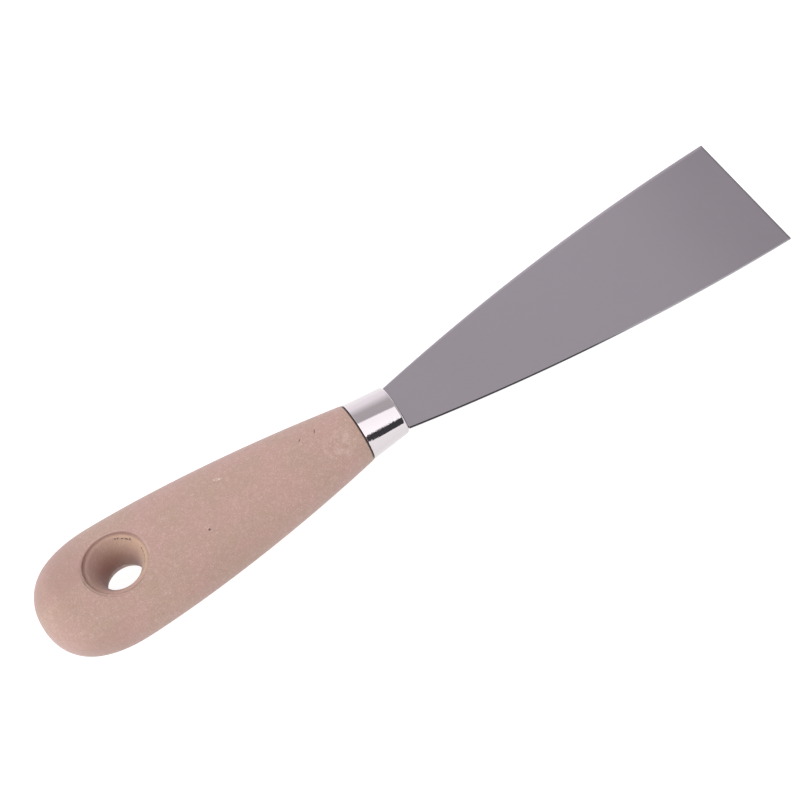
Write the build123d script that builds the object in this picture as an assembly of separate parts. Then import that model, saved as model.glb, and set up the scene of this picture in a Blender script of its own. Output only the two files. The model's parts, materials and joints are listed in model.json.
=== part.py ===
from build123d import *
import math
import os

# Flexible putty knife, laid on a flat surface: it rests on the handle's neck and on the blade's tip.
# It is drawn first in tool coordinates: X runs from the butt of the handle (0) to the blade's tip,
# the blade's mid-plane is Z = 0, and the knife is symmetric about Y = 0. All lengths are in mm.

# Overall
TOTAL_LENGTH = 219.2
HANDLE_LENGTH = 94.6
FERRULE_LENGTH = 11.6
FERRULE_GAP = 0.2               # joint between the handle's shoulder and the ferrule

# Blade
TIP_WIDTH = 40.0
ROOT_WIDTH = 14.3
SIDE_BULGE = 2.7               # how far each long edge bows out from its chord
ROOT_THICKNESS = 0.9
TIP_THICKNESS = 0.5
TANG_WIDTH = 9.0
TANG_DEPTH = 40.0               # tang length behind the shoulders
TANG_END_RADIUS = 2.0

# Handle
GRIP_HALF_WIDTH = 17.4
GRIP_WIDEST_AT = 21.7
BUTT_HALF_THICKNESS = 9.15
BUTT_ROUNDING = 9.0             # length over which the thickness closes to the butt
NECK_RADIUS = 8.25
PLAN_EXPONENT = 2.2             # fullness of the butt seen from above
SIDE_EXPONENT = 2.2             # fullness of the butt seen from the side
TAPER_EXPONENT = 1.72           # how late the grip narrows to the neck
BUTT_SECTION_EXPONENT = 2.3     # fullness of the cross-section; 2 is an ellipse
NECK_SECTION_EXPONENT = 2.0
SECTION_CHANGE_EXPONENT = 6.0   # how late the cross-section turns round
BUTT_STATIONS = 9
GRIP_STATIONS = 8
SECTION_POINTS = 24

# Hanging hole, the same from both faces
HOLE_AT = 24.1
HOLE_STEP_RADIUS = 8.7
HOLE_STEP_DEPTH = 0.85
HOLE_LEDGE_RADIUS = 7.8
HOLE_BORE_RADIUS = 5.0
HOLE_BORE_LENGTH = 1.0          # narrow straight waist between the two curved funnels

# Ferrule
FERRULE_REAR_RADIUS = 8.2
FERRULE_FRONT_HALF_WIDTH = 7.35
FERRULE_FRONT_HALF_HEIGHT = 6.0
FERRULE_WALL = 0.5
FERRULE_CORNER = 1.0
FERRULE_SLOT_CLEARANCE = 0.25

# Slot in the handle for the tang
SLOT_SIDE_GAP = 0.5
SLOT_FACE_GAP = 0.35
SLOT_END_GAP = 2.0

FERRULE_START = HANDLE_LENGTH + FERRULE_GAP
FERRULE_END = FERRULE_START + FERRULE_LENGTH
TANG_END = FERRULE_END - TANG_DEPTH


def superellipse_fill(distance, exponent):
    """Relative half-size of a superellipse at a relative distance (0 to 1) from its centre."""
    return (1.0 - distance ** exponent) ** (1.0 / exponent)


def handle_half_width(x):
    if x < GRIP_WIDEST_AT:
        return GRIP_HALF_WIDTH * superellipse_fill(1.0 - x / GRIP_WIDEST_AT, PLAN_EXPONENT)
    along = (x - GRIP_WIDEST_AT) / (HANDLE_LENGTH - GRIP_WIDEST_AT)
    return GRIP_HALF_WIDTH - (GRIP_HALF_WIDTH - NECK_RADIUS) * along ** TAPER_EXPONENT


def handle_half_thickness(x):
    line = BUTT_HALF_THICKNESS + (NECK_RADIUS - BUTT_HALF_THICKNESS) * x / HANDLE_LENGTH
    if x < BUTT_ROUNDING:
        line *= superellipse_fill(1.0 - x / BUTT_ROUNDING, SIDE_EXPONENT)
    return line


def handle_section(x):
    """Cross-section of the handle at x: a superellipse that becomes a circle at the neck."""
    change = (x / HANDLE_LENGTH) ** SECTION_CHANGE_EXPONENT
    exponent = BUTT_SECTION_EXPONENT + (NECK_SECTION_EXPONENT - BUTT_SECTION_EXPONENT) * change
    half_width = handle_half_width(x)
    half_thickness = handle_half_thickness(x)
    points = []
    for i in range(SECTION_POINTS):
        angle = 2.0 * math.pi * i / SECTION_POINTS
        across = abs(math.cos(angle)) ** (2.0 / exponent)
        up = abs(math.sin(angle)) ** (2.0 / exponent)
        points.append((
            x,
            math.copysign(half_width * across, math.cos(angle)),
            math.copysign(half_thickness * up, math.sin(angle)),
        ))
    return Face(Wire([Edge.make_spline(points, periodic=True)]))


def handle_stations():
    """Stations along the handle, close together where the butt rounds off."""
    butt = [GRIP_WIDEST_AT * (i / BUTT_STATIONS) ** 2 for i in range(1, BUTT_STATIONS + 1)]
    step = (HANDLE_LENGTH - GRIP_WIDEST_AT) / GRIP_STATIONS
    return butt + [GRIP_WIDEST_AT + step * i for i in range(1, GRIP_STATIONS + 1)]


def hanging_hole():
    """Solid of revolution that the hanging hole removes: a step and a ledge at each face of the handle,
    and between them an hourglass of two curved funnels that meet in the narrow straight waist."""
    face = handle_half_thickness(HOLE_AT)
    ledge = face - HOLE_STEP_DEPTH
    beyond = face + 5.0
    waist = HOLE_BORE_LENGTH / 2.0
    upper_funnel = TangentArc((HOLE_BORE_RADIUS, waist), (HOLE_LEDGE_RADIUS, ledge), tangent=(0, 1))
    lower_funnel = TangentArc((HOLE_BORE_RADIUS, -waist), (HOLE_LEDGE_RADIUS, -ledge), tangent=(0, -1))
    straight_waist = Line((HOLE_BORE_RADIUS, -waist), (HOLE_BORE_RADIUS, waist))
    rest = Polyline(
        (HOLE_LEDGE_RADIUS, ledge),
        (HOLE_STEP_RADIUS, ledge),
        (HOLE_STEP_RADIUS, beyond),
        (0, beyond),
        (0, -beyond),
        (HOLE_STEP_RADIUS, -beyond),
        (HOLE_STEP_RADIUS, -ledge),
        (HOLE_LEDGE_RADIUS, -ledge),
    )
    profile = Plane.XZ * make_face([upper_funnel, rest, lower_funnel, straight_waist])
    return Pos(HOLE_AT, 0, 0) * revolve(profile, Axis.Z)


def ellipse_face(x, half_width, half_height):
    return Plane((x, 0, 0), x_dir=(0, 1, 0), z_dir=(1, 0, 0)) * Ellipse(half_width, half_height)


def ferrule_body(inset, start, end):
    """Tapered plug from a circle at the handle to an ellipse at the blade, inset from the outer skin."""
    def section(x):
        along = (x - FERRULE_START) / FERRULE_LENGTH
        half_width = FERRULE_REAR_RADIUS + (FERRULE_FRONT_HALF_WIDTH - FERRULE_REAR_RADIUS) * along
        half_height = FERRULE_REAR_RADIUS + (FERRULE_FRONT_HALF_HEIGHT - FERRULE_REAR_RADIUS) * along
        return ellipse_face(x, half_width - inset, half_height - inset)
    return loft([section(start), section(end)])


def slot_block(side_gap, face_gap, start, end):
    """Box round the tang with the given gaps beside it and over its faces."""
    length = end - start
    width = TANG_WIDTH + 2.0 * side_gap
    height = ROOT_THICKNESS + 2.0 * face_gap
    return Pos((start + end) / 2.0, 0, 0) * Box(length, width, height)


def make_handle():
    sections = [Vertex(0, 0, 0)] + [handle_section(x) for x in handle_stations()]
    grip = loft(sections)
    spigot = ferrule_body(FERRULE_WALL, HANDLE_LENGTH - 1.0, FERRULE_END - FERRULE_WALL)
    slot = slot_block(SLOT_SIDE_GAP, SLOT_FACE_GAP, TANG_END - SLOT_END_GAP, FERRULE_END)
    return grip + spigot - hanging_hole() - slot


def make_ferrule():
    shell = ferrule_body(0.0, FERRULE_START, FERRULE_END)
    front_rim = shell.faces().sort_by(Axis.X)[-1].edges()
    shell = fillet(front_rim, FERRULE_CORNER)
    inside = ferrule_body(FERRULE_WALL, FERRULE_START, FERRULE_END - FERRULE_WALL)
    slot = slot_block(FERRULE_SLOT_CLEARANCE, FERRULE_SLOT_CLEARANCE, FERRULE_END - 2.0, FERRULE_END + 1.0)
    return shell - inside - slot


def blade_plan():
    """Outline of blade and tang seen from above."""
    root = ROOT_WIDTH / 2.0
    tip = TIP_WIDTH / 2.0
    tang = TANG_WIDTH / 2.0
    middle = ((FERRULE_END + TOTAL_LENGTH) / 2.0, (root + tip) / 2.0 + SIDE_BULGE)
    far_side = ThreePointArc((FERRULE_END, root), middle, (TOTAL_LENGTH, tip))
    near_side = ThreePointArc((TOTAL_LENGTH, -tip), (middle[0], -middle[1]), (FERRULE_END, -root))
    cutting_edge = Line((TOTAL_LENGTH, tip), (TOTAL_LENGTH, -tip))
    tang_outline = Polyline(
        (FERRULE_END, -root),
        (FERRULE_END, -tang),
        (TANG_END, -tang),
        (TANG_END, tang),
        (FERRULE_END, tang),
        (FERRULE_END, root),
    )
    return make_face([far_side, cutting_edge, near_side, tang_outline])


def blade_thickness():
    """Side view of the blade: full thickness in the tang, then an even taper to the tip."""
    root = ROOT_THICKNESS / 2.0
    tip = TIP_THICKNESS / 2.0
    outline = Polyline(
        (TANG_END, -root),
        (FERRULE_END, -root),
        (TOTAL_LENGTH, -tip),
        (TOTAL_LENGTH, tip),
        (FERRULE_END, root),
        (TANG_END, root),
        close=True,
    )
    return Plane.XZ * make_face(outline)


def make_blade():
    plan = extrude(blade_plan(), ROOT_THICKNESS, both=True)
    side = extrude(blade_thickness(), TIP_WIDTH, both=True)
    blade = plan & side
    tang_corners = blade.edges().filter_by(Axis.Z).group_by(Axis.X)[0]
    return fillet(tang_corners, TANG_END_RADIUS)


def make_adhesive(blade):
    front = FERRULE_END - FERRULE_WALL
    return slot_block(SLOT_SIDE_GAP, SLOT_FACE_GAP, TANG_END - SLOT_END_GAP, front) - blade


def resting_tilt():
    """Tilt about Y that puts the underside of the handle's neck and of the blade's tip on one level."""
    drop = NECK_RADIUS - TIP_THICKNESS / 2.0
    return Rot(0, math.degrees(math.atan2(drop, TOTAL_LENGTH - HANDLE_LENGTH)), 0)


def main():
    os.makedirs("parts", exist_ok=True)
    blade = make_blade()
    parts = {
        "handle": make_handle(),
        "ferrule": make_ferrule(),
        "blade": blade,
        "tang_adhesive": make_adhesive(blade),
    }
    tilted = {name: resting_tilt() * part.solid() for name, part in parts.items()}
    boxes = [solid.bounding_box() for solid in tilted.values()]
    middle = (min(box.min.X for box in boxes) + max(box.max.X for box in boxes)) / 2.0
    lowest = min(box.min.Z for box in boxes)
    for name, solid in tilted.items():
        export_step(Pos(-middle, 0, -lowest) * solid, f"parts/{name}.step")


main()
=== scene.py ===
import json
import math

import bmesh
import bpy
import numpy as np
from mathutils import Matrix, Vector


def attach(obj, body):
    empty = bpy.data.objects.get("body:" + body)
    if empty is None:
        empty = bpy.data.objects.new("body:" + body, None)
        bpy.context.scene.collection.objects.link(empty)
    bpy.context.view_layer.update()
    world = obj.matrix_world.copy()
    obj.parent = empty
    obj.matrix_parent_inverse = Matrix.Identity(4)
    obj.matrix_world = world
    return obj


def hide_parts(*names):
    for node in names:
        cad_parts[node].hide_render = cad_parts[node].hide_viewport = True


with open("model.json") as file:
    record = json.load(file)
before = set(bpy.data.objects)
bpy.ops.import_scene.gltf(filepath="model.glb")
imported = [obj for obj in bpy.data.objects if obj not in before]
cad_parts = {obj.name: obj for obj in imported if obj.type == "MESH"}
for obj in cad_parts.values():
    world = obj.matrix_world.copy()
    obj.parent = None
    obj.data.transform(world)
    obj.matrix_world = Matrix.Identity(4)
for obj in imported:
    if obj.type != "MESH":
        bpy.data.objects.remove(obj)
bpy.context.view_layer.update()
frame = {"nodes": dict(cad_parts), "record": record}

MM = 0.001

# The knife's own coordinates, in millimetres: X runs from the butt of the handle to the blade's tip, the
# blade's mid-plane is Z = 0. They are found from the hanging hole, whose axis is square to the blade.
HOLE_AT = 24.1
hole = frame["record"]["mounts"][0]
hole_axis = Vector(hole["axis"]).normalized()
along = Vector((hole_axis.z, 0.0, -hole_axis.x))
butt = Vector(hole["pos_m"]) - along * HOLE_AT * MM
TOOL = Matrix((
    (along.x, 0.0, hole_axis.x, butt.x),
    (0.0, 1.0, 0.0, butt.y),
    (along.z, 0.0, hole_axis.z, butt.z),
    (0.0, 0.0, 0.0, 1.0),
))

# Sizes of the knife, in millimetres, as in its CAD model.
HANDLE_LENGTH = 94.6
GRIP_HALF_WIDTH = 17.4
GRIP_WIDEST_AT = 21.7
BUTT_HALF_THICKNESS = 9.15
BUTT_ROUNDING = 9.0
NECK_RADIUS = 8.25
PLAN_EXPONENT = 2.2
SIDE_EXPONENT = 2.2
TAPER_EXPONENT = 1.72
BUTT_SECTION = 2.3
NECK_SECTION = 2.0
SECTION_CHANGE = 6.0
STEP_RADIUS = 8.7
STEP_DEPTH = 0.85
LEDGE_RADIUS = 7.8
BORE_RADIUS = 5.0
BORE_HALF_LENGTH = 0.5
FERRULE_START = 94.8
FERRULE_END = 106.4
FERRULE_REAR = 8.2
FERRULE_FRONT_WIDTH = 7.35
FERRULE_FRONT_HEIGHT = 6.0
FERRULE_WALL = 0.5
FERRULE_CORNER = 1.0
TIP_AT = 219.2
TIP_HALF_WIDTH = 20.0
ROOT_HALF_WIDTH = 7.15
SIDE_BULGE = 2.7
ROOT_THICKNESS = 0.9
TIP_THICKNESS = 0.5
TANG_HALF_WIDTH = 4.5
TANG_END = 66.4
SLOT_HALF_WIDTH = 5.0
SLOT_HALF_HEIGHT = 0.8
SLOT_END = 64.4

# Places along the knife as the materials measure them, from the hanging hole's axis.
HANDLE_FRONT = HANDLE_LENGTH - HOLE_AT
BLADE_TIP = TIP_AT - HOLE_AT
BLADE_MIDDLE = (FERRULE_END + TIP_AT) / 2.0 - HOLE_AT

# Marks of use on the handle, in the same coordinates.
SCUFF_AT = (33.0, 5.3, 8.2)
RUB_AT = (64.3, -4.6, 7.6)
PIT_AT = (24.3, -6.2, 8.2)
LONG_SCRATCH_AT = (60.5, 2.2, 8.2)
SHORT_SCRATCH_AT = (56.0, 2.2, 8.3)
FAR_CHIP_AT = (6.1, 4.2, 7.8)
FRONT_CHIP_AT = (7.35, 0.2, 7.7)

# Colours of the handle's wood, and of the shade and highlight painted on it.
WOOD_PINK = (0.389, 0.248, 0.212, 1.0)
WOOD_TAN = (0.366, 0.248, 0.194, 1.0)
WOOD_PALE = (0.500, 0.345, 0.306, 1.0)
# The dark flecks' colour, also used for painted shade on the sides of the butt and the near flank.
DARK_SPECK_AND_SHADE = (0.290, 0.178, 0.153, 1.0)
SCUFFED = (0.66, 0.52, 0.47, 1.0)
RUBBED = (0.54, 0.40, 0.36, 1.0)
# Painted highlight on the raised lip round the hole.
LIP_HIGHLIGHT = (0.54, 0.37, 0.32, 1.0)
# Inside the hole: the cut wood's tan with painted light, then painted shade on the butt side and deep down.
CUT_TAN_AND_LIGHT = (0.430, 0.290, 0.195, 1.0)
BUTT_SIDE_SHADE = (0.270, 0.150, 0.120, 1.0)
HOLE_SHADE = (0.225, 0.090, 0.060, 1.0)
# Painted shade in the corner of the hole's step.
STEP_SHADE = (0.205, 0.108, 0.084, 1.0)
# Dark of dirt in pits, scratches and cracks, also used for painted shade inside the hole.
GRIME_AND_SHADE = (0.080, 0.045, 0.035, 1.0)
# Painted shade in the gap between the handle and the ferrule.
JOINT_SHADE = (0.030, 0.015, 0.010, 1.0)

# Colours of the ferrule's plate and of the blade's steel.
PLATE = (0.590, 0.550, 0.565, 1.0)
PLATE_LIGHT = (0.615, 0.575, 0.590, 1.0)
# The steel is painted a little darker at the root and towards the tip: painted shade of its reflection.
STEEL_ROOT = (0.392, 0.366, 0.398, 1.0)
STEEL = (0.417, 0.388, 0.423, 1.0)
STEEL_TIP = (0.363, 0.334, 0.369, 1.0)
STEEL_CLOUD = (0.406, 0.388, 0.420, 1.0)
# Painted reflection on the blade's long edges: dark at the root, lighter towards the tip.
EDGE_WALL_DARK_REFLECTION = (0.030, 0.028, 0.031, 1.0)
EDGE_WALL_TIP_REFLECTION = (0.260, 0.250, 0.262, 1.0)
NEAR_CORNER_DARK_REFLECTION = (0.060, 0.056, 0.062, 1.0)
FAR_CORNER_DARK_REFLECTION = (0.120, 0.110, 0.122, 1.0)
EDGE_LINE = (0.16, 0.15, 0.16, 1.0)

# The white tent. Its bands go round the knife's long axis: 0 is level with it on the far side, 0.5 is
# overhead and 1 is level with it on the near side.
TENT_BANDS = [
    (0.00, (1.56, 1.50, 1.57)),
    (0.14, (1.56, 1.50, 1.57)),
    (0.31, (0.87, 0.83, 0.85)),
    (0.50, (0.86, 0.83, 0.85)),
    (0.53, (2.20, 2.18, 2.22)),
    (0.815, (2.20, 2.18, 2.22)),
    (0.84, (0.085, 0.084, 0.092)),
    (1.00, (0.085, 0.084, 0.092)),
]
TENT_ENDS = (1.20, 1.17, 1.20, 1.0)
TENT_BANDS_STOP = (0.55, 0.80)
TENT_BEYOND_BUTT = 1.55
TENT_BEYOND_BLADE = 0.45

# The camera: what it looks at, its angles in degrees and its distance in metres.
CAMERA_TARGET = (108.88, 1.63, 0.0)
CAMERA_AZIMUTH = -16.59
CAMERA_ELEVATION = 57.37
CAMERA_ROLL = 17.80
CAMERA_DISTANCE = 0.5249


# ---------------------------------------------------------------- mesh helpers

def superellipse_fill(distance, exponent):
    return (1.0 - distance ** exponent) ** (1.0 / exponent)


def even_ring(half_width, half_thickness, exponent, count):
    """Points of a superellipse in the YZ plane, spaced evenly along its length."""
    angle = np.linspace(0.0, 2.0 * math.pi, 1441)
    y = half_width * np.sign(np.cos(angle)) * np.abs(np.cos(angle)) ** (2.0 / exponent)
    z = half_thickness * np.sign(np.sin(angle)) * np.abs(np.sin(angle)) ** (2.0 / exponent)
    run = np.concatenate([[0.0], np.cumsum(np.hypot(np.diff(y), np.diff(z)))])
    at = np.linspace(0.0, run[-1], count, endpoint=False)
    return np.stack([np.interp(at, run, y), np.interp(at, run, z)], axis=1)


def rings_to_mesh(name, rings, loop_ends=False):
    """Closed mesh through rings of as many points each; its ends are capped, or joined to each other."""
    count = len(rings[0])
    points = [tuple(p) for ring in rings for p in ring]
    faces = []
    pairs = list(zip(range(len(rings) - 1), range(1, len(rings))))
    if loop_ends:
        pairs.append((len(rings) - 1, 0))
    for low, high in pairs:
        for i in range(count):
            j = (i + 1) % count
            faces.append((low * count + i, high * count + i, high * count + j, low * count + j))
    if not loop_ends:
        for ring_index in (0, len(rings) - 1):
            points.append(tuple(np.mean(rings[ring_index], axis=0)))
            centre = len(points) - 1
            for i in range(count):
                j = (i + 1) % count
                faces.append((ring_index * count + i, ring_index * count + j, centre))
    mesh = bpy.data.meshes.new(name)
    mesh.from_pydata(points, [], faces)
    made = bmesh.new()
    made.from_mesh(mesh)
    bmesh.ops.remove_doubles(made, verts=made.verts, dist=1e-5)
    bmesh.ops.recalc_face_normals(made, faces=made.faces)
    made.to_mesh(mesh)
    made.free()
    return mesh


def add_piece(mesh, name, material):
    piece = bpy.data.objects.new(name, mesh)
    bpy.context.scene.collection.objects.link(piece)
    mesh.materials.clear()
    mesh.materials.append(material)
    return piece


def subtract(piece, cutter):
    """Boolean difference, applied at once."""
    modifier = piece.modifiers.new("cut", "BOOLEAN")
    modifier.operation = "DIFFERENCE"
    modifier.solver = "EXACT"
    modifier.object = cutter
    apply_modifiers(piece)
    bpy.data.objects.remove(cutter)


def apply_modifiers(piece):
    graph = bpy.context.evaluated_depsgraph_get()
    graph.update()
    evaluated = piece.evaluated_get(graph)
    old = piece.data
    piece.data = bpy.data.meshes.new_from_object(evaluated)
    piece.modifiers.clear()
    bpy.data.meshes.remove(old)


def smooth(piece, degrees):
    piece.data.shade_smooth()
    bpy.context.view_layer.objects.active = piece
    for other in bpy.context.selected_objects:
        other.select_set(False)
    piece.select_set(True)
    bpy.ops.object.shade_smooth_by_angle(angle=math.radians(degrees))


def settle(piece, node):
    """Puts a piece drawn in the knife's own millimetres where its CAD node is, and ties it to the frame."""
    piece.data.transform(TOOL @ Matrix.Scale(MM, 4))
    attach(piece, "root")
    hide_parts(node)


# ---------------------------------------------------------------- material helpers

class Nodes:
    """Short names for building a node material."""

    def __init__(self, name):
        self.material = bpy.data.materials.new(name)
        self.material.use_nodes = True
        self.tree = self.material.node_tree
        self.shader = self.tree.nodes["Principled BSDF"]
        # Object coordinates in millimetres, with the hanging hole's axis at the origin.
        place = self.add("ShaderNodeTexCoord").outputs["Object"]
        shift = self.add("ShaderNodeMapping")
        shift.vector_type = "TEXTURE"
        shift.inputs["Location"].default_value = Vector(hole["pos_m"])
        shift.inputs["Rotation"].default_value = (0.0, math.atan2(hole_axis.x, hole_axis.z), 0.0)
        shift.inputs["Scale"].default_value = (MM, MM, MM)
        self.tree.links.new(place, shift.inputs["Vector"])
        self.place = shift.outputs["Vector"]

    def add(self, kind, **settings):
        made = self.tree.nodes.new(kind)
        for key, value in settings.items():
            setattr(made, key, value)
        return made

    def feed(self, socket, value):
        if isinstance(value, bpy.types.NodeSocket):
            self.tree.links.new(value, socket)
        else:
            socket.default_value = value

    def noise(self, scale, detail=2.0, rough=0.5, stretch=None, offset=0.0):
        """Noise from 0 to 1; scale is in features per millimetre."""
        vector = self.place
        if stretch or offset:
            mapping = self.add("ShaderNodeMapping")
            mapping.inputs["Scale"].default_value = stretch or (1.0, 1.0, 1.0)
            mapping.inputs["Location"].default_value = (offset, offset, offset)
            self.feed(mapping.inputs["Vector"], vector)
            vector = mapping.outputs["Vector"]
        made = self.add("ShaderNodeTexNoise")
        self.feed(made.inputs["Vector"], vector)
        made.inputs["Scale"].default_value = scale
        made.inputs["Detail"].default_value = detail
        made.inputs["Roughness"].default_value = rough
        return made.outputs["Fac"]

    def math(self, operation, a, b=0.0):
        made = self.add("ShaderNodeMath", operation=operation)
        self.feed(made.inputs[0], a)
        self.feed(made.inputs[1], b)
        return made.outputs[0]

    def range(self, value, low, high, to_low=0.0, to_high=1.0):
        """Smooth step from one result to the other, held beyond both ends."""
        made = self.add("ShaderNodeMapRange", interpolation_type="SMOOTHSTEP")
        self.feed(made.inputs["Value"], value)
        made.inputs["From Min"].default_value = low
        made.inputs["From Max"].default_value = high
        made.inputs["To Min"].default_value = to_low
        made.inputs["To Max"].default_value = to_high
        return made.outputs["Result"]

    def mix(self, amount, first, second):
        made = self.add("ShaderNodeMix", data_type="RGBA")
        self.feed(made.inputs["Factor"], amount)
        self.feed(made.inputs["A"], first)
        self.feed(made.inputs["B"], second)
        return made.outputs["Result"]

    def ramp(self, value, stops):
        """Piecewise value of one number; each stop is (position, result)."""
        made = self.add("ShaderNodeFloatCurve")
        curve = made.mapping.curves[0]
        points = curve.points
        while len(points) < len(stops):
            points.new(0.5, 0.5)
        for point, (position, result) in zip(points, stops):
            point.location = (position, result)
            point.handle_type = "VECTOR"
        made.mapping.update()
        self.feed(made.inputs["Value"], value)
        return made.outputs[0]

    def both(self, *masks):
        """Product of masks."""
        product = masks[0]
        for mask in masks[1:]:
            product = self.math("MULTIPLY", product, mask)
        return product

    def band(self, value, start, full, fade, end):
        """Mask that rises from start to full and falls again from fade to end."""
        return self.both(self.range(value, start, full), self.range(value, fade, end, 1.0, 0.0))

    def spot(self, centre, radius, stretch=(1.0, 1.0, 1.0), turn=0.0):
        """Soft spot round a place; the stretch makes it an ellipse, turned in the plane of the blade."""
        shift = self.add("ShaderNodeMapping", vector_type="TEXTURE")
        shift.inputs["Location"].default_value = centre
        shift.inputs["Rotation"].default_value = (0.0, 0.0, math.radians(turn))
        shift.inputs["Scale"].default_value = stretch
        self.feed(shift.inputs["Vector"], self.place)
        length = self.add("ShaderNodeVectorMath", operation="LENGTH")
        self.feed(length.inputs[0], shift.outputs["Vector"])
        return self.range(length.outputs["Value"], radius * 0.4, radius, 1.0, 0.0)

    def bump(self, height, distance, strength=1.0, after=None):
        """Bump from a height of 0 to 1 that stands for the given depth in millimetres."""
        made = self.add("ShaderNodeBump")
        made.inputs["Strength"].default_value = strength
        made.inputs["Distance"].default_value = distance * MM
        self.feed(made.inputs["Height"], height)
        if after is not None:
            self.feed(made.inputs["Normal"], after)
        return made.outputs["Normal"]

    def axes(self):
        made = self.add("ShaderNodeSeparateXYZ")
        self.feed(made.inputs[0], self.place)
        return made.outputs


# ---------------------------------------------------------------- materials

def wood_colour(n, fine):
    """Pink and tan clouds, paler blotches, and a stipple of fine pale and dark flecks."""
    colour = n.mix(n.range(n.noise(0.12, 3.0), 0.35, 0.65), WOOD_PINK, WOOD_TAN)
    blotch = n.noise(0.8, 3.0, 0.6, offset=7.0)
    colour = n.mix(n.range(blotch, 0.48, 0.75, 0.0, 0.40), colour, WOOD_PALE)
    speck = n.noise(3.4, 2.0, 0.6, offset=23.0)
    colour = n.mix(n.range(fine, 0.51, 0.71, 0.0, 0.72), colour, WOOD_PALE)
    return n.mix(n.range(speck, 0.53, 0.73, 0.0, 0.80), colour, DARK_SPECK_AND_SHADE)


def marks_of_use(n, colour, fine):
    """Pale scuffs, two short scratches and a pit. Gives the colour, and a mask of what is cut in."""
    scuff = n.both(n.range(fine, 0.44, 0.60), n.spot(SCUFF_AT, 1.6, (1.0, 0.4, 1.0), -30.0))
    colour = n.mix(n.math("MULTIPLY", scuff, 0.7), colour, SCUFFED)
    patchy = n.range(n.noise(0.5, 3.0, 0.7, offset=17.0), 0.45, 0.60)
    rub = n.both(patchy, n.spot(RUB_AT, 6.0, (1.0, 0.8, 1.0), 10.0))
    colour = n.mix(n.math("MULTIPLY", rub, 0.42), colour, RUBBED)
    pit = n.spot(PIT_AT, 0.40)
    long_scratch = n.spot(LONG_SCRATCH_AT, 0.9, (1.0, 0.22, 1.0), 60.0)
    short_scratch = n.spot(SHORT_SCRATCH_AT, 0.7, (1.0, 0.25, 1.0), 40.0)
    scratch = n.math("MAXIMUM", long_scratch, short_scratch)
    dirt = n.math("MAXIMUM", n.math("MULTIPLY", pit, 0.9), n.math("MULTIPLY", scratch, 0.65))
    return n.mix(dirt, colour, GRIME_AND_SHADE), n.math("MAXIMUM", pit, scratch)


def paint_side_shade(n, colour, x, y, radius):
    """Painted shade on the sides of the butt and along the near flank, outside the hole."""
    sides = n.math("MAXIMUM", n.range(y, -2.0, 3.0), n.range(y, -15.0, -11.5, 0.8, 0.0))
    sides = n.both(n.range(x, -10.0, -1.0, 1.0, 0.0), sides)
    flank = n.both(n.band(x, 6.0, 18.0, 28.0, 44.0), n.range(y, -14.0, -9.0, 1.0, 0.0))
    darker = n.math("ADD", n.math("MULTIPLY", sides, 0.36), n.math("MULTIPLY", flank, 0.16))
    darker = n.both(darker, n.range(radius, STEP_RADIUS, STEP_RADIUS + 1.0))
    return n.mix(darker, colour, DARK_SPECK_AND_SHADE)


def colour_funnel(n, colour, z, radius, turn):
    """Inside of the hole: tan cut wood with painted light towards the blade and the top, and painted shade
    towards the butt and deep down.
    """
    inside = n.range(radius, LEDGE_RADIUS + 0.3, LEDGE_RADIUS + 0.8, 1.0, 0.0)
    to_blade = n.ramp(turn, [(0.0, 0.0), (0.20, 0.35), (0.45, 1.0), (0.60, 0.9), (0.85, 0.1), (1.0, 0.0)])
    # The cut wood's tan, with painted light: stronger on the blade side and near the top.
    tan_and_light = n.both(inside, n.range(z, 4.0, 8.2, 0.4, 0.8), to_blade)
    colour = n.mix(tan_and_light, colour, CUT_TAN_AND_LIGHT)
    # Painted shade on the butt side of the hole.
    colour = n.mix(n.both(inside, n.range(to_blade, 0.0, 0.8, 0.50, 0.0)), colour, BUTT_SIDE_SHADE)
    # Painted shade deep in the hole, strongest towards the butt.
    deep_shade = n.both(n.band(z, -2.6, -2.1, 0.0, 7.5), inside, n.range(to_blade, 0.0, 1.0, 0.92, 0.50))
    colour = n.mix(deep_shade, colour, HOLE_SHADE)
    # A thin dark ring painted round the lower funnel, along the lower edge of the painted shade.
    dark_ring_line = n.both(n.band(z, -2.6, -2.35, -2.2, -1.9), inside)
    return n.mix(n.math("MULTIPLY", dark_ring_line, 0.6), colour, GRIME_AND_SHADE)


def paint_step_shade(n, colour, radius, turn):
    """Painted shade in the corner of the step, darkest from the far side round to the butt."""
    round_step = n.ramp(turn, [
        (0.0, 0.60), (0.08, 0.35), (0.16, 0.10), (0.50, 0.05), (0.56, 0.35),
        (0.64, 0.80), (0.80, 1.0), (0.92, 0.95), (1.0, 0.60),
    ])
    corner = n.both(n.band(radius, 7.90, 8.40, 8.85, 9.30), round_step)
    return n.mix(n.math("MULTIPLY", corner, 0.78), colour, STEP_SHADE)


def colour_cracks_and_shade(n, colour, radius, turn):
    """Broken dark line near the funnel's mouth, a line of painted shade along the funnel's near edge, and
    two dark chips.
    """
    broken = n.range(n.noise(1.3, 3.0, 0.7, offset=31.0), 0.43, 0.52)
    two_runs = n.ramp(turn, [
        (0.38, 0.0), (0.41, 1.0), (0.49, 1.0), (0.51, 0.0),
        (0.58, 0.0), (0.60, 1.0), (0.68, 1.0), (0.70, 0.0),
    ])
    near_side = n.ramp(turn, [(0.08, 0.0), (0.16, 0.8), (0.34, 0.8), (0.40, 0.0)])
    split = n.both(n.band(radius, 7.20, 7.30, 7.45, 7.55), two_runs, broken)
    # Painted shade: a dark line along the funnel's near edge.
    near_edge_shade = n.both(n.band(radius, 6.55, 6.65, 6.95, 7.10), near_side)
    chips = n.math("MAXIMUM", n.spot(FAR_CHIP_AT, 0.45), n.spot(FRONT_CHIP_AT, 0.40))
    crack_and_shade = n.math("MAXIMUM", n.math("MAXIMUM", split, near_edge_shade), chips)
    return n.mix(n.math("MULTIPLY", crack_and_shade, 0.85), colour, GRIME_AND_SHADE)


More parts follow.
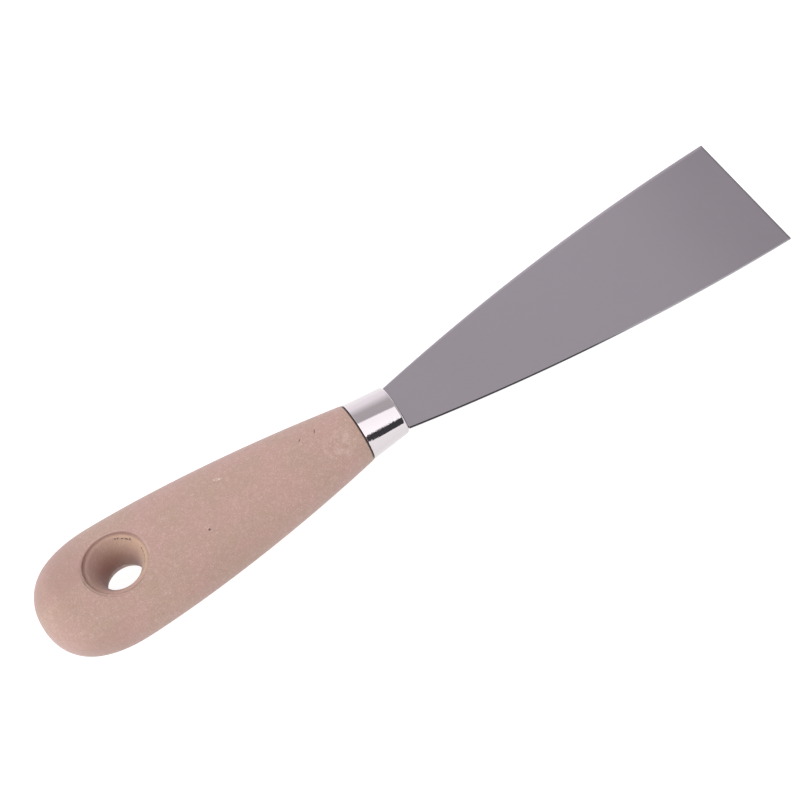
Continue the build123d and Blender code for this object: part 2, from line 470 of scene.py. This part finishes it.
def handle_material():
    """Unvarnished fine wood: pinkish beige with a soft mottle, a fine stipple and a few marks of use, with
    painted shade and highlight round the hole, on the butt's sides and at the joint.
    """
    n = Nodes("handle_wood")
    x, y, z = n.axes()
    fine = n.noise(2.4, 2.0, 0.6, offset=11.0)
    # The radius from the hole's axis, and the angle round it as a share of a whole turn: it starts at the
    # butt and goes round by the near side, the blade and the far side.
    radius = n.math("SQRT", n.math("ADD", n.math("MULTIPLY", x, x), n.math("MULTIPLY", y, y)))
    turn = n.math("ADD", n.math("DIVIDE", n.math("ARCTAN2", y, x), 2.0 * math.pi), 0.5)
    # The skin outside the step stands up a little from the blade's side round to the far side, and is
    # painted lighter there as a highlight.
    lip_run = n.ramp(turn, [(0.40, 0.0), (0.48, 1.0), (0.72, 1.0), (0.80, 0.0)])
    lip = n.both(n.band(radius, STEP_RADIUS, STEP_RADIUS + 0.1, 9.1, 9.5), lip_run)
    # Painted shade on the handle's shoulder, in the gap where it meets the ferrule.
    joint = n.range(x, HANDLE_FRONT - 0.40, HANDLE_FRONT - 0.22)

    colour = wood_colour(n, fine)
    colour, cut_in = marks_of_use(n, colour, fine)
    colour = paint_side_shade(n, colour, x, y, radius)
    colour = n.mix(n.math("MULTIPLY", lip, 0.40), colour, LIP_HIGHLIGHT)
    colour = colour_funnel(n, colour, z, radius, turn)
    colour = paint_step_shade(n, colour, radius, turn)
    colour = colour_cracks_and_shade(n, colour, radius, turn)
    colour = n.mix(n.math("MULTIPLY", joint, 0.92), colour, JOINT_SHADE)

    n.feed(n.shader.inputs["Base Color"], colour)
    n.feed(n.shader.inputs["Roughness"], n.range(n.noise(0.8, 2.0, offset=5.0), 0.3, 0.7, 0.62, 0.74))
    n.shader.inputs["Specular IOR Level"].default_value = 0.30
    n.shader.inputs["Sheen Weight"].default_value = 0.17
    n.shader.inputs["Sheen Tint"].default_value = (0.95, 0.96, 1.0, 1.0)
    grain = n.bump(fine, 0.10)
    dents = n.bump(cut_in, -0.15, after=grain)
    n.feed(n.shader.inputs["Normal"], n.bump(lip, 0.06, after=dents))
    return n.material


def ferrule_material():
    """Bright nickel plate with faint turning marks, and fine wear along its near side."""
    n = Nodes("ferrule_plate")
    x, y, z = n.axes()
    tint = n.mix(n.noise(0.3, 2.0), PLATE, PLATE_LIGHT)
    n.feed(n.shader.inputs["Base Color"], tint)
    n.shader.inputs["Metallic"].default_value = 1.0
    n.feed(n.shader.inputs["Roughness"], n.range(n.noise(0.9, 3.0), 0.3, 0.7, 0.04, 0.08))
    marks = n.bump(n.noise(1.0, 2.0, 0.6, stretch=(2.2, 0.45, 0.45)), 0.012)
    # Angle round the long axis: 0 on the far side, 0.5 on top and 1 on the near side.
    turn = n.math("DIVIDE", n.math("ARCTAN2", z, y), math.pi)
    wear = n.noise(1.0, 3.0, 0.7, stretch=(1.8, 0.8, 0.8), offset=4.0)
    wear = n.both(wear, n.band(turn, 0.71, 0.76, 0.79, 0.84))
    n.feed(n.shader.inputs["Normal"], n.bump(wear, 0.055, after=marks))
    return n.material


def blade_material():
    """Satin-ground strip steel. Its long edges carry a painted dark reflection that lightens towards the
    tip, and the far corner is painted dark all along.
    """
    n = Nodes("blade_steel")
    x, y, z = n.axes()
    cloud = n.range(n.noise(0.03, 2.0), 0.3, 0.7, 0.0, 0.25)
    # Painted shade along the blade: a little darker at the root and towards the tip.
    colour = n.mix(n.range(x, 96.0, 148.0), STEEL_ROOT, STEEL)
    colour = n.mix(n.range(x, 160.0, 192.0), colour, STEEL_TIP)
    colour = n.mix(cloud, colour, STEEL_CLOUD)
    # How far a face looks across the knife: 1 to the far side, -1 to the near side.
    geometry = n.add("ShaderNodeNewGeometry")
    facing = n.add("ShaderNodeSeparateXYZ")
    n.feed(facing.inputs[0], geometry.outputs["True Normal"])
    across = facing.outputs["Y"]
    # Painted reflection on the edges: dark walls and corners at the root, lighter towards the tip; the far
    # corner stays dark.
    toward_tip = n.range(x, BLADE_MIDDLE - 6.0, BLADE_MIDDLE + 10.0)
    wall_colour = n.mix(toward_tip, EDGE_WALL_DARK_REFLECTION, EDGE_WALL_TIP_REFLECTION)
    near_corner = n.mix(toward_tip, NEAR_CORNER_DARK_REFLECTION, STEEL)
    colour = n.mix(n.range(across, -0.30, -0.20, 1.0, 0.0), colour, near_corner)
    colour = n.mix(n.range(across, 0.20, 0.30, 0.0, 0.8), colour, FAR_CORNER_DARK_REFLECTION)
    colour = n.mix(n.range(n.math("ABSOLUTE", across), 0.80, 0.90), colour, wall_colour)
    tip_line = n.range(x, BLADE_TIP - 0.55, BLADE_TIP - 0.30)
    colour = n.mix(n.math("MULTIPLY", tip_line, 0.5), colour, EDGE_LINE)
    n.feed(n.shader.inputs["Base Color"], colour)
    n.shader.inputs["Metallic"].default_value = 1.0
    n.feed(n.shader.inputs["Roughness"], n.range(n.noise(0.5, 3.0), 0.3, 0.7, 0.17, 0.20))
    lines = n.noise(1.0, 2.0, 0.5, stretch=(0.10, 2.0, 2.0))
    n.feed(n.shader.inputs["Normal"], n.bump(lines, 0.01, 0.04))
    return n.material


def resin_material():
    """Cured resin: translucent amber, slightly uneven."""
    n = Nodes("resin")
    colour = n.mix(n.noise(0.4, 3.0), (0.30, 0.19, 0.07, 1.0), (0.42, 0.28, 0.12, 1.0))
    n.feed(n.shader.inputs["Base Color"], colour)
    n.feed(n.shader.inputs["Roughness"], n.range(n.noise(1.0, 2.0), 0.3, 0.7, 0.30, 0.45))
    n.feed(n.shader.inputs["Normal"], n.bump(n.noise(1.5, 2.0), 0.05))
    return n.material


# ---------------------------------------------------------------- handle

def handle_half_width(x):
    if x < GRIP_WIDEST_AT:
        return GRIP_HALF_WIDTH * superellipse_fill(1.0 - x / GRIP_WIDEST_AT, PLAN_EXPONENT)
    run = (x - GRIP_WIDEST_AT) / (HANDLE_LENGTH - GRIP_WIDEST_AT)
    return GRIP_HALF_WIDTH - (GRIP_HALF_WIDTH - NECK_RADIUS) * run ** TAPER_EXPONENT


def handle_half_thickness(x):
    line = BUTT_HALF_THICKNESS + (NECK_RADIUS - BUTT_HALF_THICKNESS) * x / HANDLE_LENGTH
    if x < BUTT_ROUNDING:
        line *= superellipse_fill(1.0 - x / BUTT_ROUNDING, SIDE_EXPONENT)
    return line


def section_exponent(x):
    return BUTT_SECTION + (NECK_SECTION - BUTT_SECTION) * (x / HANDLE_LENGTH) ** SECTION_CHANGE


def ferrule_half_sizes(x):
    run = (x - FERRULE_START) / (FERRULE_END - FERRULE_START)
    half_width = FERRULE_REAR + (FERRULE_FRONT_WIDTH - FERRULE_REAR) * run
    half_height = FERRULE_REAR + (FERRULE_FRONT_HEIGHT - FERRULE_REAR) * run
    return half_width, half_height


def handle_surface_height(x, y):
    """Height of the handle's upper face over the blade's mid-plane."""
    share = min(abs(y) / handle_half_width(x), 1.0)
    exponent = section_exponent(x)
    return handle_half_thickness(x) * superellipse_fill(share, exponent)


def hole_profile():
    """Radius, height and how far the height follows the crowned face, from the waist up to the rim."""
    ledge = handle_half_thickness(HOLE_AT) - STEP_DEPTH
    rise = ledge - BORE_HALF_LENGTH
    reach = LEDGE_RADIUS - BORE_RADIUS
    curve = (reach ** 2 + rise ** 2) / (2.0 * reach)
    blend_rise = 0.62
    upper = [(BORE_RADIUS, 0.0, 0.0)]
    for i in range(0, 41):
        above_waist = (rise - blend_rise) * i / 40
        radius = BORE_RADIUS + curve - math.sqrt(curve ** 2 - above_waist ** 2)
        upper.append((radius, BORE_HALF_LENGTH + above_waist, 0.0))
    # The funnel rolls over into the ledge on an arc that meets both without a crease.
    radius, height, follows = upper[-1]
    lean = math.asin((rise - blend_rise) / curve)
    blend = blend_rise / (1.0 - math.sin(lean))
    for i in range(1, 11):
        angle = lean + (math.pi / 2.0 - lean) * i / 10
        upper.append((
            radius + blend * (math.cos(lean) - math.cos(angle)),
            height + blend * (math.sin(angle) - math.sin(lean)),
            0.0,
        ))
    corner = 0.12
    upper.append((STEP_RADIUS - corner, ledge, 0.0))
    upper.append((STEP_RADIUS, ledge + corner, 0.0))
    lip = 0.22
    for i in range(0, 7):
        angle = math.pi / 2.0 * i / 6
        upper.append((STEP_RADIUS + lip * (1.0 - math.cos(angle)), -lip + lip * math.sin(angle), 1.0))
    upper.append((STEP_RADIUS + lip, 3.0, 1.0))
    return upper


def hole_cutter():
    """Ring-shaped tool for the hanging hole; its mouth follows the crowned faces of the handle."""
    upper = hole_profile()
    count = 192
    rings = []
    for sign, profile in ((-1.0, upper[:0:-1]), (1.0, upper)):
        for radius, height, follows in profile:
            ring = []
            for i in range(count):
                angle = 2.0 * math.pi * i / count
                x = HOLE_AT + radius * math.cos(angle)
                y = radius * math.sin(angle)
                z = height + follows * handle_surface_height(x, y)
                ring.append((x, y, sign * z))
            rings.append(np.array(ring))
    cutter = bpy.data.objects.new("hole_cutter", rings_to_mesh("hole_cutter", rings))
    bpy.context.scene.collection.objects.link(cutter)
    return cutter


def slot_cutter():
    """Box that clears the tang and its adhesive."""
    front = FERRULE_END + 1.0
    middle = Matrix.Translation(((SLOT_END + front) / 2.0, 0.0, 0.0))
    size = Matrix.Diagonal((front - SLOT_END, 2.0 * SLOT_HALF_WIDTH, 2.0 * SLOT_HALF_HEIGHT, 1.0))
    made = bmesh.new()
    bmesh.ops.create_cube(made, size=1.0, matrix=middle @ size)
    mesh = bpy.data.meshes.new("slot_cutter")
    made.to_mesh(mesh)
    made.free()
    cutter = bpy.data.objects.new("slot_cutter", mesh)
    bpy.context.scene.collection.objects.link(cutter)
    return cutter


def make_handle():
    around = 256
    rings = []
    butt_rings = 100
    for i in range(1, butt_rings + 1):
        x = GRIP_WIDEST_AT * (i / butt_rings) ** 2
        rings.append((x, handle_half_width(x), handle_half_thickness(x), section_exponent(x)))
    grip_rings = 150
    for i in range(1, grip_rings):
        x = GRIP_WIDEST_AT + (HANDLE_LENGTH - 0.3 - GRIP_WIDEST_AT) * i / grip_rings
        rings.append((x, handle_half_width(x), handle_half_thickness(x), section_exponent(x)))
    edge = 0.25
    for i in range(0, 6):
        angle = math.pi / 2.0 * i / 5
        radius = NECK_RADIUS - edge + edge * math.cos(angle)
        rings.append((HANDLE_LENGTH - edge + edge * math.sin(angle), radius, radius, 2.0))
    gap = FERRULE_WALL + 0.03
    for i in range(0, 13):
        x = HANDLE_LENGTH + (FERRULE_END - FERRULE_WALL - HANDLE_LENGTH) * i / 12
        half_width, half_height = ferrule_half_sizes(max(x, FERRULE_START))
        rings.append((x, half_width - gap, half_height - gap, 2.0))
    solid = []
    for x, half_width, half_thickness, exponent in rings:
        ring = even_ring(half_width, half_thickness, exponent, around)
        solid.append(np.column_stack([np.full(around, x), ring]))
    handle = add_piece(rings_to_mesh("handle_body", solid), "handle_body", handle_material())
    subtract(handle, hole_cutter())
    subtract(handle, slot_cutter())
    smooth(handle, 40.0)
    settle(handle, "handle")


# ---------------------------------------------------------------- ferrule

def make_ferrule():
    """Drawn cap: outer skin, rolled front corner, front face with its slot, and the inside."""
    around = 288
    profile = []

    def ring(x, half_width, half_height, exponent=2.0):
        points = even_ring(half_width, half_height, exponent, around)
        profile.append(np.column_stack([np.full(around, x), points]))

    rim = 0.12
    for i in range(0, 5):
        angle = math.pi / 2.0 * i / 4
        x = FERRULE_START + rim * (1.0 - math.cos(angle))
        half_width, half_height = ferrule_half_sizes(x)
        inset = rim * (1.0 - math.sin(angle))
        ring(x, half_width - inset, half_height - inset)
    steps = 96
    skin_end = FERRULE_END - FERRULE_CORNER
    for i in range(1, steps):
        x = FERRULE_START + rim + (skin_end - FERRULE_START - rim) * i / steps
        half_width, half_height = ferrule_half_sizes(x)
        ring(x, half_width, half_height)
    end_width, end_height = ferrule_half_sizes(skin_end)
    for i in range(0, 13):
        angle = math.pi / 2.0 * i / 12
        inset = FERRULE_CORNER * (1.0 - math.cos(angle))
        ring(skin_end + FERRULE_CORNER * math.sin(angle), end_width - inset, end_height - inset)
    face_width = end_width - FERRULE_CORNER
    face_height = end_height - FERRULE_CORNER
    clearance = 0.25
    slot_section = 6.0
    slot_width = TANG_HALF_WIDTH + clearance
    slot_height = ROOT_THICKNESS / 2.0 + clearance
    for i in range(1, 7):
        t = i / 6
        ring(FERRULE_END, face_width + (slot_width - face_width) * t,
             face_height + (slot_height - face_height) * t, 2.0 + 4.0 * t)
    inner_face = FERRULE_END - FERRULE_WALL
    ring(inner_face, slot_width, slot_height, slot_section)
    for i in range(1, 5):
        t = i / 4
        ring(inner_face, slot_width + (face_width - slot_width) * t,
             slot_height + (face_height - slot_height) * t, 6.0 - 4.0 * t)
    for i in range(0, 9):
        x = inner_face - 0.3 + (FERRULE_START + rim - inner_face + 0.3) * i / 8
        half_width, half_height = ferrule_half_sizes(x)
        ring(x, half_width - FERRULE_WALL, half_height - FERRULE_WALL)
    shell = rings_to_mesh("ferrule_cap", profile, loop_ends=True)
    ferrule = add_piece(shell, "ferrule_cap", ferrule_material())
    smooth(ferrule, 40.0)
    settle(ferrule, "ferrule")


# ---------------------------------------------------------------- blade

def blade_half_width(x):
    """Half-width of the fan at x, on the circular arc through root, bulge and tip."""
    chord = math.hypot(TIP_AT - FERRULE_END, TIP_HALF_WIDTH - ROOT_HALF_WIDTH)
    middle = Vector(((FERRULE_END + TIP_AT) / 2.0, (ROOT_HALF_WIDTH + TIP_HALF_WIDTH) / 2.0))
    lean = math.atan2(TIP_HALF_WIDTH - ROOT_HALF_WIDTH, TIP_AT - FERRULE_END)
    sagitta = SIDE_BULGE * math.cos(lean)
    radius = chord ** 2 / (8.0 * sagitta) + sagitta / 2.0
    centre = middle + Vector((-math.sin(lean), math.cos(lean))) * (sagitta - radius)
    return centre.y + math.sqrt(radius ** 2 - (x - centre.x) ** 2)


def make_blade():
    across = 40
    edge = 0.10

    def section(x, half_width, half_thickness):
        """Thin plate section with small rounded corners, as one closed ring."""
        inner = half_width - edge
        top = half_thickness
        points = [(inner * (1.0 - 2.0 * i / across), top) for i in range(across + 1)]
        points += [(-inner - edge * 0.7, top - edge * 0.3), (-half_width, top - edge)]
        points += [(-half_width, -top + edge), (-inner - edge * 0.7, -top + edge * 0.3)]
        points += [(-inner * (1.0 - 2.0 * i / across), -top) for i in range(across + 1)]
        points += [(inner + edge * 0.7, -top + edge * 0.3), (half_width, -top + edge)]
        points += [(half_width, top - edge), (inner + edge * 0.7, top - edge * 0.3)]
        return np.array([(x, y, z) for y, z in points])

    root = ROOT_THICKNESS / 2.0
    tip = TIP_THICKNESS / 2.0
    rings = []
    corner = 2.0
    for i in range(0, 7):
        angle = math.pi / 2.0 * i / 6
        x = TANG_END + corner * (1.0 - math.cos(angle))
        rings.append(section(x, TANG_HALF_WIDTH - corner + corner * math.sin(angle), root))
    rings.append(section(FERRULE_END, TANG_HALF_WIDTH, root))
    rings.append(section(FERRULE_END, ROOT_HALF_WIDTH, root))
    steps = 160
    for i in range(1, steps + 1):
        x = FERRULE_END + (TIP_AT - edge - FERRULE_END) * i / steps
        thickness = root + (tip - root) * (x - FERRULE_END) / (TIP_AT - FERRULE_END)
        rings.append(section(x, blade_half_width(x), thickness))
    rings.append(section(TIP_AT - edge * 0.3, TIP_HALF_WIDTH - edge * 0.3, tip - edge * 0.3))
    rings.append(section(TIP_AT, TIP_HALF_WIDTH - edge, tip - edge))
    blade = add_piece(rings_to_mesh("blade_steel", rings), "blade_plate", blade_material())
    smooth(blade, 25.0)
    settle(blade, "blade")


# ---------------------------------------------------------------- studio

def make_floor():
    """Pale sheet that gives off light of its own, so that it comes out white."""
    half = 3.0
    corners = [(-half, -half, 0), (half, -half, 0), (half, half, 0), (-half, half, 0)]
    mesh = bpy.data.meshes.new("floor")
    mesh.from_pydata(corners, [], [(0, 1, 2, 3)])
    n = Nodes("floor_paper")
    colour = n.mix(n.noise(0.02, 2.0), (0.34, 0.34, 0.34, 1.0), (0.36, 0.36, 0.36, 1.0))
    n.feed(n.shader.inputs["Base Color"], colour)
    n.shader.inputs["Roughness"].default_value = 0.9
    n.shader.inputs["Emission Color"].default_value = (1.0, 1.0, 1.0, 1.0)
    n.shader.inputs["Emission Strength"].default_value = 0.80
    floor = add_piece(mesh, "floor", n.material)


def make_world():
    """White tent round the knife: bright walls, a greyer ceiling and a dark gap low on the near side."""
    world = bpy.data.worlds.new("studio")
    bpy.context.scene.world = world
    world.use_nodes = True
    tree = world.node_tree
    background = tree.nodes["Background"]
    coordinates = tree.nodes.new("ShaderNodeTexCoord")
    split = tree.nodes.new("ShaderNodeSeparateXYZ")
    tree.links.new(coordinates.outputs["Generated"], split.inputs[0])
    # Angle round the knife's long axis, in half turns.
    angle = tree.nodes.new("ShaderNodeMath")
    angle.operation = "ARCTAN2"
    tree.links.new(split.outputs["Z"], angle.inputs[0])
    tree.links.new(split.outputs["Y"], angle.inputs[1])
    share = tree.nodes.new("ShaderNodeMath")
    share.operation = "DIVIDE"
    share.inputs[1].default_value = math.pi
    tree.links.new(angle.outputs[0], share.inputs[0])
    ramp = tree.nodes.new("ShaderNodeValToRGB")
    tree.links.new(share.outputs[0], ramp.inputs["Fac"])
    elements = ramp.color_ramp.elements
    while len(elements) < len(TENT_BANDS):
        elements.new(0.5)
    for element, (position, colour) in zip(elements, TENT_BANDS):
        element.position = position
        element.color = (*colour, 1.0)
    # The bands run along the knife's sides; beyond its ends the tent is plain.
    reach = tree.nodes.new("ShaderNodeMath")
    reach.operation = "ABSOLUTE"
    tree.links.new(split.outputs["X"], reach.inputs[0])
    ends = tree.nodes.new("ShaderNodeMapRange")
    ends.inputs["From Min"].default_value = TENT_BANDS_STOP[0]
    ends.inputs["From Max"].default_value = TENT_BANDS_STOP[1]
    tree.links.new(reach.outputs[0], ends.inputs["Value"])
    join = tree.nodes.new("ShaderNodeMix")
    join.data_type = "RGBA"
    join.inputs["B"].default_value = TENT_ENDS
    tree.links.new(ends.outputs["Result"], join.inputs["Factor"])
    tree.links.new(ramp.outputs["Color"], join.inputs["A"])
    tree.links.new(join.outputs["Result"], background.inputs["Color"])
    # Brighter beyond the butt, dimmer beyond the blade.
    fall = tree.nodes.new("ShaderNodeMapRange")
    fall.inputs["From Min"].default_value = -1.0
    fall.inputs["From Max"].default_value = 1.0
    fall.inputs["To Min"].default_value = TENT_BEYOND_BUTT
    fall.inputs["To Max"].default_value = TENT_BEYOND_BLADE
    tree.links.new(split.outputs["X"], fall.inputs["Value"])
    tree.links.new(fall.outputs["Result"], background.inputs["Strength"])


def make_camera():
    """Long lens above the near side, a little behind the knife's middle and rolled towards the butt."""
    target = TOOL @ (Vector(CAMERA_TARGET) * MM)
    azimuth = math.radians(CAMERA_AZIMUTH)
    elevation = math.radians(CAMERA_ELEVATION)
    roll = math.radians(CAMERA_ROLL)
    away = Vector((
        math.cos(elevation) * math.sin(azimuth),
        -math.cos(elevation) * math.cos(azimuth),
        math.sin(elevation),
    ))
    away = TOOL.to_3x3() @ away
    up = TOOL.to_3x3() @ Vector((0.0, 0.0, 1.0))
    up = (up - away * up.dot(away)).normalized()
    right = up.cross(away)
    turned_up = up * math.cos(roll) + right * math.sin(roll)
    turned_right = turned_up.cross(away)
    camera_data = bpy.data.cameras.new("camera")
    camera_data.lens = 90.0
    camera_data.sensor_width = 36.0
    camera_data.clip_start = 0.01
    camera = bpy.data.objects.new("camera", camera_data)
    place = target + away * CAMERA_DISTANCE
    camera.matrix_world = Matrix((
        (turned_right.x, turned_up.x, away.x, place.x),
        (turned_right.y, turned_up.y, away.y, place.y),
        (turned_right.z, turned_up.z, away.z, place.z),
        (0.0, 0.0, 0.0, 1.0),
    ))
    bpy.context.scene.collection.objects.link(camera)
    bpy.context.scene.camera = camera


make_camera()
make_handle()
make_ferrule()
make_blade()
frame["nodes"]["tang_adhesive"].data.materials.clear()
frame["nodes"]["tang_adhesive"].data.materials.append(resin_material())
make_floor()
make_world()
bpy.context.scene.view_settings.view_transform = "Standard"
